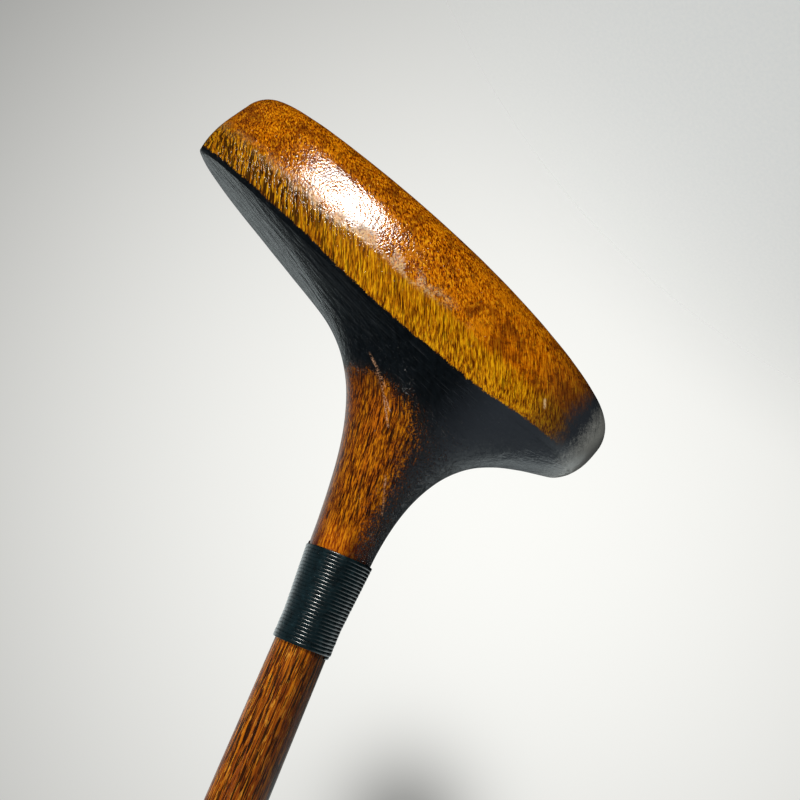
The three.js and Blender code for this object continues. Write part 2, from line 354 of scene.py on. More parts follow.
def ways(turn):
    """How much of a direction is toe, heel, back and face. They add up to 1."""
    along, across = np.cos(turn), np.sin(turn)
    return {"toe": np.maximum(0, along) ** 2, "heel": np.maximum(0, -along) ** 2,
            "back": np.maximum(0, -across) ** 2, "face": np.maximum(0, across) ** 2}


def wall_point(turn, margin, height_of):
    x, y = plan_step(turn, margin)
    x = x + line_x(crown_height)
    z = height_of(x)
    plane = face_plane - z * math.tan(face_loft)
    y = plane - eased * np.logaddexp(0, (plane - y) / eased)
    return np.stack([x, y, z], axis=-1)


def lower_rings(turn, wear, round_count=14, wall_count=16):
    """Rings from the flat of the sole up to just under the top edge."""
    way = ways(turn)
    bulge = (way["toe"] * toe_bulge + way["heel"] * heel_bulge
             + (way["back"] + way["face"]) * side_bulge)
    draft = way["toe"] * toe_draft
    tall = round_height + way["back"] * (back_round_height - round_height)
    deep = round_depth + way["back"] * (back_round_depth - round_depth)
    landing = [signed_power(np.cos(turn), landing_power) * landing_reach,
               signed_power(np.sin(turn), landing_power) * landing_breadth, 0 * turn]
    rings = [np.stack(landing, axis=-1)]
    for i in range(round_count + 1):
        quarter = i / round_count * math.pi / 2
        lift = tall * (1 - math.cos(quarter)) + sole_camber
        margin = deep * (1 - math.sin(quarter)) + draft - bulge
        rings.append(wall_point(turn, margin, lambda x: sole_height(x) + lift))

    def at(share):
        margin = draft * (1 - share) - bulge * (1 - share ** 3)

        def height_of(x):
            foot = sole_height(x) + tall + sole_camber
            return foot + (crown_edge_height(x) - foot) * share
        return wall_point(turn, margin, height_of)

    edge = at(1.0)
    wall_length = np.linalg.norm(edge - at(0.0), axis=-1)
    top = 1 - wear / wall_length
    for i in range(1, wall_count + 1):
        rings.append(at(top * i / wall_count))
    return rings, edge


# %% [markdown]
# ## The sweep up into the neck
#
# Every line of the crown leaves the top edge and bends up into the neck. Each is a
# Bezier curve, blended between four: toe, heel, back and face. A short curve replaces
# the sharp corner of the edge, wider where noise says that it has been knocked more.

# %% Rings of the crown
neck_top, neck_top_radius = 75.2, 7.15
neck_end, neck_end_radius = 90.05, 5.9
tenon_length, tenon_root, tenon_tip = 40.0, 4.7, 3.75  # length, and radius at either end
fit = 0.3  # gap between two pieces
# The first handle lies at a share of the way from neck to edge, raised by so much, and
# the second so much wider than the neck, at a height of its own.
sweeps = {"toe": (0.27, 7.7, 3.25, 30.7), "heel": (0.6, 9.1, 3.05, 39.3),
          "back": (0.74, 3.8, 2.1, 42.2), "face": (0.78, 4.3, 2.1, 42.2)}


def crown_rings(turn, edge, wear, count=76):
    """Rings from just above the top edge to the foot of the twine."""
    step_x, step_y = plan_step(turn, 0)
    way = ways(np.arctan2(step_y, step_x))
    share, rise, spread, root = (sum(way[key] * sweeps[key][i] for key in sweeps)
                                 for i in range(4))
    first_height = edge[:, 2] + rise
    first_x = (edge[:, 0] - line_x(edge[:, 2])) * share + line_x(first_height)
    first = np.stack([first_x, edge[:, 1] * share, first_height], axis=-1)
    root_radius = neck_top_radius + spread
    second_x = line_x(root) + root_radius * np.cos(turn)
    second = np.stack([second_x, root_radius * np.sin(turn), root], axis=-1)
    neck = round_the_shaft(neck_top, neck_top_radius, turn)

    def at(t):
        t = np.broadcast_to(t, turn.shape)[:, None]
        return ((1 - t) ** 3 * edge + 3 * (1 - t) ** 2 * t * first
                + 3 * (1 - t) * t ** 2 * second + t ** 3 * neck)

    start = wear / (3 * np.linalg.norm(first - edge, axis=-1))
    return [at(start + (1 - start) * i / count) for i in range(count + 1)]


def worn_edge(below, corner, above, count=6):
    shares = [i / count for i in range(1, count)]
    return [(1 - s) ** 2 * below + 2 * (1 - s) * s * corner + s ** 2 * above for s in shares]


# %% Put the head together
around = 336  # points in each ring
even_wear, more_wear, knock_pace = 0.55, 0.3, 6
turn = once_round(around)
knocks = np.array([noise.noise(Vector((math.cos(a) * knock_pace, math.sin(a) * knock_pace, 0.3)))
                   for a in turn])
wear = even_wear + more_wear * np.clip(knocks, -0.7, 1)
lower, edge = lower_rings(turn, wear)
crown = crown_rings(turn, edge, wear)
bend = worn_edge(lower[-1], edge, crown[0])
socket_bottom = neck_end - tenon_length - fit
bore = [round_the_shaft(neck_end, neck_end_radius, turn),
        round_the_shaft(neck_end, tenon_root + fit, turn),
        round_the_shaft(socket_bottom, tenon_tip + fit, turn)]
head_rings = np.array([*lower, *bend, *crown, *bore])
head_points, head_faces = stack(head_rings, np.zeros(3), round_the_shaft(socket_bottom, 0.0, 0.0))


def below_the_edge(rings, edge_level):
    """How far each point is down from the top edge. On the crown, less than 0."""
    steps = np.linalg.norm(np.diff(rings, axis=0), axis=-1)
    run = np.vstack([np.zeros(rings.shape[1]), np.cumsum(steps, axis=0)])
    return (run[edge_level] - run).ravel()


closing_points = [30.0, -90.0]  # the middles of the sole and of the socket
head_below = np.append(below_the_edge(head_rings, len(lower) + len(bend) // 2), closing_points)
print("points of the head:", len(head_points))

# %% [markdown]
# ## The hand of the maker
#
# No carved surface is quite true. A slow noise moves each point by a tenth of a
# millimetre, which makes the highlight waver. Two cylinders then cut the sockets for the
# lead, as a brace and bit would do it.

# %% Carve the head
lead_radius, lead_depth, lead_recess, lead_y = 7.5, 20.0, 0.4, 1.5
lead_places = {"toe_lead_plug": 24.0, "heel_lead_plug": -29.0}  # in x
swells = [(0.055, 0.0, 0.16), (0.19, 7.0, 0.05)]  # pace, start and height of each
true_below, free_above = 0.3, 2.3  # the landing stays true, and the swells grow above it


def lead_seat(x):
    return float(sole_height(np.float64(x))) + sole_camber + lead_recess


def unevenness(point):
    return sum(height * noise.noise(Vector(point * pace + start))
               for pace, start, height in swells)


def normals_of(points, faces):
    mesh = new_mesh("measure", points, faces, unit=1)
    flat = np.empty(len(points) * 3)
    mesh.vertex_normals.foreach_get("vector", flat)
    bpy.data.meshes.remove(mesh)
    return flat.reshape(-1, 3)


outside = np.arange(len(head_points)) < (len(lower) + len(bend) + len(crown)) * around
height_on_sole = np.clip((head_points[:, 2] - true_below) / (free_above - true_below), 0, 1)
moved = np.array([unevenness(p) for p in head_points]) * outside * height_on_sole
head_points = head_points + normals_of(head_points, head_faces) * moved[:, None]
print("carving moves the surface by", moved.min().round(3), "to", moved.max().round(3), "mm")


def bit(x, depth, count=96):
    """A cylinder for a lead socket, from below the sole up to a depth."""
    angle, radius = once_round(count), lead_radius + fit
    low, high = lead_seat(x) - depth, lead_seat(x) + depth + fit
    across, beyond = x + radius * np.cos(angle), lead_y + radius * np.sin(angle)
    rings = [np.stack([across, beyond, np.full(count, z)], axis=-1) for z in (low, high)]
    return new_object("bit", new_mesh("bit", *stack(rings, [x, lead_y, low], [x, lead_y, high])))


def cut(piece, cutter):
    change = piece.modifiers.new("cut", "BOOLEAN")
    change.object, change.operation, change.solver = cutter, "DIFFERENCE", "EXACT"
    graph = bpy.context.evaluated_depsgraph_get()
    mesh = bpy.data.meshes.new_from_object(piece.evaluated_get(graph), depsgraph=graph,
                                           preserve_all_data_layers=True)
    piece.modifiers.clear()
    piece.data = mesh
    bpy.data.objects.remove(cutter)


# %% [markdown]
# ## Wood in three dimensions
#
# Wood isn't a picture on a surface. Its pores are long tubes, so a wall cut along the
# grain shows them as strokes, and a sole cut across it shows them as dots. A solid
# texture in space that is squeezed along the grain gives both.
#
# In this block the grain leans further to the heel in the head than in the neck, so
# space is sheared by an amount that changes with height.

# %% Grain of the block
grain_turns_at, head_slope, neck_slope = 42.0, 0.86, 0.5


def head_grain(f, x, y, z):
    shear = x + z.low(grain_turns_at) * head_slope
    return f.join(shear + (z - grain_turns_at).high(0.0) * neck_slope, y, z)


def streaks(f, grain, width, length, start=0.0, detail=3.0, roughness=0.55):
    """A cloud in squeezed space: streaks of about this width and length."""
    x, y, z = f.split(grain)
    squeezed = f.join(x / width + start, y / width, z / length + start)
    return f.cloud(squeezed, 1.0, detail, roughness)


def on_the_shaft(x, z):
    """How far along the shaft a place is, and how far to the toe side of its line."""
    across, up = float(to_the_toe[0]), float(to_the_toe[2])
    return (x - shaft_foot[0]) * -up + z * across, (x - shaft_foot[0]) * across + z * up


def to_toe_side(beside, y):
    """1 on the toe side of the shaft's line, 0 in the middle and -1 on the heel side."""
    return beside / ((beside * beside + y * y) ** 0.5).high(0.1)


def near_line(f, spot, ends, reach):
    """1 on a straight mark between two ends, and 0 further from it than its reach."""
    start, run = Vector(ends[0]), Vector(ends[1]) - Vector(ends[0])
    sums = "VectorMath"
    out = f.node(sums, {"operation": "SUBTRACT"}, {0: spot, 1: start})
    share = f.node(sums, {"operation": "DOT_PRODUCT"}, {0: out, 1: run}, "Value")
    share = (share / run.length_squared).high(0.0).low(1.0)
    nearest = f.node(sums, {"operation": "SCALE"}, {0: tuple(run), "Scale": share})
    gap = f.node(sums, {"operation": "DISTANCE"}, {0: out, 1: nearest}, "Value")
    return gap.step(reach, 0.0)


# %% [markdown]
# ## Varnish, stain and wear on the head
#
# The maker stained the crown almost black, wiped the neck so that the brown shows, and
# let the stain fade into the wall at the heel. The black on the heel side of the neck and
# the darker foot of the neck are partly that stain and partly painted shade. Under the
# varnish the back is amber: yellow with dark pores near the top edge, redder and spotted
# where the wall rolls under and shows end grain.
#
# Dust, pores and brush marks roughen the old varnish, so the lamp breaks up into sparks.
# Bump does that, and not colour.

# %% Wood of the back
crack_ends = ((-14.9, -16.1, 11.5), (-19.7, -13.7, 5.1))
comb_gap = 1.4  # from one dark line to the next


def strokes_of(f, grain, width, length, share, start):
    """Dark pores in clusters: 1 in a pore, 0 beside it."""
    line = streaks(f, grain, width, length, start, 2.0, 0.5)
    crowd = streaks(f, grain, 3.4, 15.0, start + 4.0, 2.0)
    return (line - share).step(0.0, 0.05) * crowd.step(0.3, 0.46)


def bare_back(f, spot, x, grain, rolled, slow):
    """Yellow near the top edge, and red with blotches where the wall rolls under."""
    fibre = streaks(f, grain, 0.36, 2.6, roughness=0.65)
    speckle = streaks(f, grain, 0.44, 0.7, 0.0, 2.0, 0.75)
    blotch = f.cloud(spot, 5.0, 4.0, 0.6)
    yellow = f.ramp(fibre, (0.38, 92, 40, 1), (0.5, 202, 122, 6), (0.6, 244, 178, 18))
    reds = (0.39, 70, 24, 1), (0.47, 178, 86, 2), (0.55, 228, 128, 6), (0.63, 252, 176, 26)
    to_heel = x.frayed(slow, 20.0).step(-4.0, -30.0)
    red = f.blend(to_heel * 0.8, f.ramp(speckle, *reds), f.ramp(fibre, *reds))
    red = red.coat(blotch.step(0.5, 0.36) * 0.6, 104, 44, 6)
    red = red.coat(blotch.step(0.54, 0.68) * 0.6, 222, 132, 6)
    red = red.coat(f.cloud(spot, 1.5, 3.0, 0.65).step(0.47, 0.36) * 0.6, 84, 32, 5)
    return f.blend(rolled, yellow, red)


def back_pores(f, grain, toe_end, rolled):
    """Dark pores, and a comb of dark lines near the toe."""
    across = f.split(grain)[0] + f.cloud(grain, 3.0) * 4.0
    comb = (across * (full_turn / comb_gap)).maths("SINE").step(0.1, 0.7)
    comb = comb * streaks(f, grain, 1.4, 7.0, 2.0, 2.0).step(0.425, 0.485)
    dark = strokes_of(f, grain, 0.62, 5.0, 0.575 - toe_end * 0.06, 0.0)
    dark = dark.high(comb * (toe_end * 0.5 + 0.5))
    dark = dark.high(strokes_of(f, grain, 0.4, 2.6, 0.59, 21.0) * 0.8)
    return dark * (1 - rolled * 0.75) * (0.7 + toe_end * 0.3)


def back_wood(f, spot, x, grain, below, slow, fine):
    """The amber wall, and masks of its dark marks and its middle."""
    middle = x.step(30.0, 6.0) * x.step(-30.0, -16.0)
    rolled = (below - middle * 1.3).frayed(slow, 5.0).frayed(fine, 3.0).step(6.4, 9.2)
    toe_end = x.frayed(slow, 12.0).step(4.0, 30.0)
    dark = back_pores(f, grain, toe_end, rolled)
    wood = bare_back(f, spot, x, grain, rolled, slow).coat(dark * 0.92, 30, 11, 1)
    toe_brown = x.frayed(slow, 14.0).step(44.0, 60.0) * 0.4
    heel_brown = x.frayed(slow, 9.0).step(-34.0, -48.0) * 0.8
    brown = toe_brown.high(heel_brown).high(toe_end * (1 - rolled) * 0.22)
    wood = wood.coat(brown, 62, 36, 20)
    crack = near_line(f, spot, crack_ends, 0.3)
    return wood.coat(crack * 0.8, 50, 22, 6), dark.high(crack), middle


# %% Brown of the neck
def neck_wood(f, x, y, z, grain, grit):
    """The wiped neck, and masks of the black stain on it, which partly paints its shade, and of
    its pores.
    """
    along, beside = on_the_shaft(x, z)
    toe_side = to_toe_side(beside, y)
    limit = ((along - 36.0) * -0.2).maths("EXPONENT") * 1.7 - 0.79
    patch = streaks(f, grain, 3.0, 9.0, 5.0)
    clear = (toe_side - limit).frayed(patch, 0.8)
    fibre = streaks(f, grain, 0.32, 2.0, 9.0, 4.0, 0.7)
    amber = f.ramp(fibre, (0.4, 62, 22, 2), (0.5, 136, 67, 4), (0.6, 214, 132, 12))
    umber = f.ramp(fibre, (0.4, 40, 12, 2), (0.5, 124, 57, 5), (0.6, 204, 112, 12))
    deep = f.ramp(fibre, (0.4, 20, 8, 3), (0.5, 54, 24, 7), (0.62, 98, 49, 12))
    glow = f.ramp(fibre, (0.4, 122, 44, 4), (0.5, 196, 98, 8), (0.6, 236, 148, 20))
    bright = f.blend(patch.frayed(grit, 0.2).step(0.5, 0.42), amber, umber)
    # Towards the heel side the neck goes near black: partly the stain, partly painted shade.
    wood = f.blend(clear.frayed(grit, 0.9).step(0.5, 0.08), bright, deep)
    # Darker towards the toe-side edge of the neck: painted shade.
    wood = wood.coat(toe_side.step(0.55, 0.98) * 0.4, 60, 24, 4)
    pores = strokes_of(f, grain, 0.6, 6.0, 0.575, 40.0)
    wood = wood.coat(pores * 0.85, 30, 12, 5)
    collar = along.frayed(patch, 9.0).step(68.5, 73.5)
    wood = f.blend(collar * 0.85, wood, glow)
    collar_side = toe_side.step(0.62, 0.86).high(toe_side.step(0.2, -0.2))
    red_edge = collar * collar_side * (grit.step(0.3, 0.6) * 0.4 + 0.5)
    wood = wood.coat(red_edge, 58, 12, 4)
    # Darker low on the neck, where it flares into the head: partly stain, partly painted shade.
    darker_neck_foot = along.frayed(grit, 9.0).frayed(patch, 12.0).step(45.0, 34.0)
    wood = wood.coat(darker_neck_foot * 0.6, 36, 18, 8)
    return wood, clear.frayed(grit, 2.9).step(0.5, -0.1), pores


# %% Stain, rubs and scratches, with painted sheen and glints
scratches = [((-4.6, -7.2, 35.2), (-11.4, -8.1, 38.6)), ((-6.4, -7.4, 35.9), (-13.2, -8.4, 39.2)),
             ((-9.6, -7.9, 38.3), (-17.7, -9.2, 42.9)), ((-12.4, -8.3, 39.6), (-19.6, -9.1, 45.6)),
             ((-26.4, -8.5, 53.8), (-31.4, -7.1, 60.0))]
tick_ends = ((-41.6, -14.8, 19.7), (-40.4, -14.8, 18.4))


def crown_ink(f, x, y, z, below, fine, grit, heel_end):
    """The near black stain and its brush marks. Towards the heel it is greyer, and the heel
    end has pale patches: painted sheen, with some dust.
    """
    ink = f.ramp(fine, (0.3, 6, 9, 12), (0.7, 15, 20, 24))
    brush = f.cloud(f.join(x / 9.0, y / 0.4, z / 0.4), 1.0, 3.0, 0.65)
    ink = ink.coat(brush.step(0.56, 0.68) * 0.14, 74, 78, 80)
    # Greyer towards the heel: painted sheen of the heel end.
    ink = ink.coat(x.step(-21.0, -37.0) * 0.7, 56, 61, 68)
    # Pale patches at the heel end: painted sheen on its bevel, and dust.
    dust_and_sheen = heel_end * x.frayed(grit, 6.0).frayed(fine, 4.0).step(-50.5, -57.0)
    dust_and_sheen = dust_and_sheen * (below.step(-3.0, 0.5) * 0.55 + 0.45)
    return ink.coat(dust_and_sheen * 0.9, 184, 186, 180), brush


# A band where the varnish is rubbed; its pale colour is also a painted sheen.
def rubbed_band_and_sheen(f, spot, x, below, middle, slow, fine):
    seam = (below - middle * 2.4).frayed(slow, 3.0)
    band = seam.step(5.6, 7.4) * seam.step(10.5, 8.0) * x.frayed(fine, 20.0).step(-20.0, 0.0)
    return band * (1 - x.step(18.0, 36.0) * 0.7) * f.cloud(spot, 4.0).step(0.4, 0.56)


def scratch_glints(f, spot, grit):
    mark = near_line(f, spot, scratches[0], 0.42)
    for ends in scratches[1:]:
        mark = mark.high(near_line(f, spot, ends, 0.42))
    return mark * grit.step(0.46, 0.56)


# %% Finish of the head
def head_finish():
    material, f = new_material("varnished_head")
    spot = f.place()
    x, y, z = f.split(spot)
    grain = head_grain(f, x, y, z)
    below = f.node("Attribute", {"attribute_name": "below_edge"}, output="Fac")
    slow, fine = f.cloud(spot, 11.0), f.cloud(grain, 1.3)
    grit = f.cloud(spot, 0.4, 3.0, 0.7)

    back, dark, middle = back_wood(f, spot, x, grain, below, slow, fine)
    neck, stained_and_shaded_neck, neck_pores = neck_wood(f, x, y, z, grain, grit)
    overlap = (x.step(8.0, 24.0) * 0.75 + x.step(-24.0, -44.0) * 1.2).frayed(slow, 0.8)
    on_crown = (below - overlap).frayed(grit, 1.5).frayed(fine, 1.0).step(0.45, 0.0)
    heel_end = x.frayed(fine, 4.0).frayed(slow, 6.0).frayed(grit, 5.0).step(-45.0, -50.0)
    black = (on_crown * stained_and_shaded_neck).high(heel_end)
    ink, brush = crown_ink(f, x, y, z, below, fine, grit, heel_end)
    colour = f.blend(black, f.blend(on_crown, back, neck), ink)

    scuff_and_sheen = rubbed_band_and_sheen(f, spot, x, below, middle, slow, fine) * (1 - on_crown)
    # The pale rubbed band by the highlight: rubbed varnish, with a painted sheen on it.
    colour = colour.coat(scuff_and_sheen * grit.step(0.42, 0.58) * 0.7, 234, 192, 124)
    scratch_and_glint = scratch_glints(f, spot, grit)
    # Pale scratches on the neck: real scratches, with a painted glint along them.
    colour = colour.coat(scratch_and_glint * 0.8, 208, 158, 118)
    tick = near_line(f, spot, tick_ends, 0.5) * grit.step(0.3, 0.5)
    colour = colour.coat(tick * 0.9, 236, 200, 150)

    peel = f.cloud(spot, 0.62, 1.0, 0.5)
    sunk = (dark * (1 - on_crown)).high(neck_pores * on_crown * (1 - stained_and_shaded_neck))
    nicks = f.specks(spot, 1.5).step(0.16, 0.04)
    rough_skin = peel * 0.052 + grit * 0.008 - sunk * 0.016 - nicks * 0.05 - scratch_and_glint * 0.03
    swell = f.cloud(f.join(x / 14.0, y / 1.6, z / 1.6), 1.0, 2.0)
    brushed = (brush * 0.14 + swell * 0.45 - nicks * 0.08) * below.step(0.1, -1.2) + peel * 0.04
    bent = f.bump(rough_skin * (1 - black) + brushed * black)
    rough = (0.1 + scuff_and_sheen * 0.3).frayed(slow, 0.06) + on_crown * 0.06 + scratch_and_glint * 0.2
    f.surface(base_color=colour, roughness=rough, ior=1.5, normal=bent)
    return material


varnished_head = head_finish()
head = make_piece("mallet_head_carved", head_points, head_faces, varnished_head, "head_wood",
                  "mallet_head")
below_edge = head.data.attributes.new("below_edge", "FLOAT", "POINT")
below_edge.data.foreach_set("value", head_below)
for place in lead_places.values():
    cut(head, bit(place, lead_depth))
head.data.set_sharp_from_angle(angle=math.radians(sharp_from))
print("head after the bit:", len(head.data.vertices), "points")

# %% [markdown]
# ## The shaft
#
# Hickory is split, planed and scraped round, so the shaft tapers evenly to the head, with
# pores in long dark streaks. Its thin end is a tenon, out of sight in the neck.

# %% Shape of the shaft
shaft_neck, shaft_grip, shaft_butt, butt_chamfer = 5.75, 7.2, 7.8, 1.0  # radii, and the bevel
grip_length = 270.0
grip_start = club_length - grip_length


def shaft_radius(along):
    return np.interp(along, [neck_end, grip_start, club_length],
                     [shaft_neck, shaft_grip, shaft_butt])


def shaft_profile():
    """Radius and place of the tenon, the taper, and the butt with its eased corner."""
    shoulder, bevel = neck_end + fit, club_length - butt_chamfer
    places = [*np.linspace(shoulder, grip_start, 40), *np.linspace(grip_start + 8, bevel, 12)]
    taper = [(float(shaft_radius(a)), float(a)) for a in places]
    butt, first_step = taper[-1][0], 0.3 * butt_chamfer
    return [(tenon_tip, neck_end - tenon_length), (tenon_root, shoulder), *taper,
            (butt - first_step, club_length - first_step), (butt - butt_chamfer, club_length)]


# %% Finish of the shaft
def shaft_finish():
    material, f = new_material("varnished_hickory")
    spot = f.place()
    x, y, z = f.split(spot)
    along, beside = on_the_shaft(x, z)
    grain = f.join(beside, y, along)
    fibre = streaks(f, grain, 0.36, 9.0, roughness=0.7)
    tone = f.ramp(fibre, (0.4, 98, 38, 3), (0.5, 164, 82, 6), (0.6, 214, 126, 14))
    flecks = streaks(f, grain, 0.32, 2.2, 30.0, 2.0).step(0.58, 0.64)
    tone = tone.coat(flecks * 0.7, 244, 172, 58)
    wide = streaks(f, grain, 3.0, 40.0, 3.0)
    tone = tone.coat(wide.step(0.58, 0.42) * 0.5, 128, 56, 8)
    # Darker on the heel side of the shaft: painted shade on the side away from the light.
    shaded_heel_side = to_toe_side(beside, y).frayed(wide, 0.5).step(-0.2, -0.6)
    tone = tone.coat(shaded_heel_side * 0.6, 62, 28, 10)
    long_pores = streaks(f, grain, 0.46, 7.0, 8.0, 2.0).step(0.555, 0.575)
    hair = streaks(f, grain, 0.34, 3.6, 15.0, 1.0).step(0.565, 0.6)
    dark = long_pores.high(hair * 0.8)
    colour = tone.coat(dark * 0.92, 26, 9, 3)
    pits = f.cloud(spot, 0.6, 3.0, 0.6)
    bent = f.bump(pits * 0.02 + fibre * 0.03 - dark * 0.05)
    f.surface(base_color=colour, roughness=f.cloud(spot, 3.0) * 0.2 + 0.26, normal=bent,
              specular_ior_level=0.4)
    return material


profile = shaft_profile()
rings = [round_the_shaft(along, radius, once_round(96)) for radius, along in profile]
ends = [round_the_shaft(profile[i][1], 0.0, 0.0) for i in (0, -1)]
make_piece("hickory_shaft", *stack(rings, *ends), shaft_finish(), "hickory", "shaft")

# %% [markdown]
# ## Waxed twine
#
# The joint is glued, and then bound with black waxed twine, each turn against the last.
# A tube on a helix gives it, in one length with both ends tucked under. Small changes of
# radius and pitch keep it from looking machined.
#
# The strands of the twine are too fine to model. Each point carries how far along the
# twine it is and which way round, and the finish draws them as a wave in the bump.

# %% A winding of twine
waver_share, waver_pace = 0.06, 0.35  # how far the pitch wavers, and how quickly
jitter_share, jitter_pace = 0.1, 0.11  # the same for the radius
tuck_share, tuck_pace = 0.6, 6  # the ends go under within a sixth of a turn
pressed_wide, pressed_flat = 0.6, 0.5  # below 1 is squarer than round


def winding(name, start, turns, pitch, width, height, under, node, seed, steps=64, sides=16):
    """A helix of twine, pressed flat, laid on the radius that under() gives."""
    count = int(turns * steps)
    angle = np.arange(count + 1) / steps * full_turn
    waver = np.array([noise.noise(Vector((a * waver_pace, seed, 0.0))) for a in angle])
    jitter = np.array([noise.noise(Vector((a * jitter_pace, 5.0, seed))) for a in angle])
    along = start + width / 2 + (angle / full_turn + waver_share * waver) * pitch
    to_end = np.minimum(np.arange(count + 1), count - np.arange(count + 1)) / steps
    tuck = tuck_share * height * np.clip(1 - to_end * tuck_pace, 0, 1)
    radius = under(along) + height / 2 + jitter_share * height * jitter - tuck
    centre = round_the_shaft(along, radius, angle)
    heading = np.gradient(centre, axis=0)
    heading /= np.linalg.norm(heading, axis=1, keepdims=True)
    out = round_the_shaft(along, radius + 1.0, angle) - centre
    side = np.cross(heading, out)
    run = np.concatenate([[0.0], np.cumsum(np.linalg.norm(np.diff(centre, axis=0), axis=1))])
    rings, lays = [], []
    for k in range(sides):
        turn_k = -k / sides * full_turn
        across, up = math.cos(turn_k), math.sin(turn_k)
        flat_across = signed_power(across, pressed_wide) * width / 2
        flat_up = signed_power(up, pressed_flat) * height / 2
        rings.append(centre + flat_across * side + flat_up * out)
        lays.append(np.stack([np.full(count + 1, across), np.full(count + 1, up), run], axis=-1))
    skin = stack(np.stack(rings, axis=1), centre[0], centre[-1])
    lay = np.vstack([np.stack(lays, axis=1).reshape(-1, 3), [0, 0, 0], [0, 0, run[-1]]])
    piece = make_piece(name, *skin, waxed_twine, "waxed_twine", node, sharp=80)
    data = piece.data.attributes.new("lay", "FLOAT_VECTOR", "POINT")
    data.data.foreach_set("vector", lay.ravel())
    print(f"{name}: {run[-1]:.0f} mm of twine in {turns} turns")


# %% Finish of the twine
strand_lay = 1.1  # length of twine in which a strand goes once round


def twine_finish():
    material, f = new_material("waxed_black_twine")
    lay = f.node("Attribute", {"attribute_name": "lay"}, output="Vector")
    across, up, run = f.split(lay)
    slant = run * (full_turn / strand_lay)
    strands = (across * slant.maths("SINE") + up * slant.maths("COSINE")) * 0.5 + 0.5
    wax = f.cloud(f.place(), 1.6, 4.0, 0.7)
    fuzz = f.cloud(f.place(), 0.22, 2.0)
    colour = f.ramp(wax, (0.3, 4, 16, 20), (0.6, 12, 34, 40), (0.8, 38, 64, 70))
    # Darker on the inner side of each turn: painted shade in the grooves between turns.
    colour = colour.coat(up.step(0.5, -0.2) * 0.7, 4, 8, 9)
    bent = f.bump(strands * 0.018 + fuzz * 0.012 + wax * 0.01)
    f.surface(base_color=colour, roughness=(wax - 0.5) * 0.3 + 0.3, normal=bent,
              coat_weight=1.0, coat_ior=1.8, coat_roughness=0.22)
    return material


waxed_twine = twine_finish()
neck_lay = (26.6, 0.755, 0.82, 0.5)  # turns, pitch, width and height of the twine
stand_off = 0.02


def over_neck(along):
    neck_radii = [neck_top_radius, neck_end_radius]
    return np.interp(along, [neck_top, neck_end], neck_radii) + stand_off


winding("neck_twine", neck_top + 0.15, *neck_lay, over_neck, "neck_whipping", seed=3.0)

# %% [markdown]
# ## Lead in the sole
#
# Wood alone is too light, so lead was poured into the sole and scraped level. The face
# of each plug is a little uneven, dull grey, with the lines that the scraper left.

# %% Lead plugs
def lead_finish():
    material, f = new_material("scraped_lead")
    x, y, z = f.split(f.place())
    scrape = f.cloud(f.join(x * 0.35 + y * 2.2, y * 0.35 - x * 2.2, z), 1.0, 3.0)
    oxide = f.cloud(f.place(), 2.4, 4.0, 0.65)
    colour = f.ramp(oxide, (0.3, 92, 94, 98), (0.6, 128, 130, 133), (0.8, 158, 158, 156))
    f.surface(base_color=colour, metallic=0.75, roughness=oxide * 0.3 + 0.38,
              normal=f.bump(scrape * 0.6 + oxide * 0.4, 0.12))
    return material


scraped_lead = lead_finish()
dent_height, dent_pace, face_lift = 0.1, 0.4, 0.2


def lead_plug(name, x, node, count=72):
    """A turned plug, from (share of the radius, lift) pairs, with a dented face."""
    seat, angle = lead_seat(x), once_round(count)
    profile = [(0.3, 0.12), (0.6, 0.08), (0.85, 0.05), (0.95, 0.06), (1.0, 0.3),
               (1.0, 0.6 * lead_depth), (1.0, lead_depth)]
    rings = []
    for share, lift in profile:
        across, beyond = lead_radius * share * np.cos(angle), lead_radius * share * np.sin(angle)
        dents = [noise.noise(Vector((x + a * dent_pace, b * dent_pace, 2.0)))
                 for a, b in zip(across, beyond)]
        dent = dent_height * np.array(dents) if lift < face_lift else 0 * angle
        rings.append(np.stack([x + across, lead_y + beyond, seat + lift + dent], axis=-1))
    skin = stack(rings, [x, lead_y, seat + profile[0][1]], [x, lead_y, seat + lead_depth])
    return make_piece(name, *skin, scraped_lead, "poured_lead", node, sharp=50)


for node_name, place in lead_places.items():
    lead_plug(f"poured_{node_name}", place, node_name)

# %% [markdown]
# ## The grip
#
# A strip of wool is wound on first, to make the grip thick and soft. Over it goes a
# strip of leather, wound in a spiral, and twine binds both ends. The strip of leather is
# thickest in its middle and rolls down to a groove at the seam.

# %% Wool and leather
listing, leather, strip_width = 1.9, 1.7, 23.0  # of wool, leather, and the strip
butt_gap, end_length = 4.0, 12.0  # bare butt, and length of a binding
grip_end = club_length - butt_gap
lap_height, pressed_in = 0.22, 0.15
groove_depth, groove_width, pinch_depth, pinch_reach = 0.75, 0.9, 0.35, 5.0
hands_at, seam_width = 745.0, 1.1


def listing_radius(along):
    return shaft_radius(along) + fit


def leather_radius(along):
    return listing_radius(along) + listing + fit


def sleeve(name, outer, inner, material, slot, node, rings, count):
    """A sleeve as long as the grip, from outer(along, angle) and inner(along)."""
    angle = once_round(count)
    along = np.linspace(grip_start, grip_end, rings)
    skin = [round_the_shaft(a, outer(a, angle), angle) for a in along]
    skin += [round_the_shaft(a, inner(a), angle) for a in along[::-1]]
    return make_piece(name, *stack(skin, looped=True), material, slot, node, sharp=60)


def strip_phase(along, angle):
    """0 at one edge of the strip and 1 at the other."""
    return (along / strip_width + angle / full_turn) % 1.0


def to_seam(phase):
    return np.minimum(phase, 1 - phase) * strip_width


def wool_outer(along, angle):
    return listing_radius(along) + listing


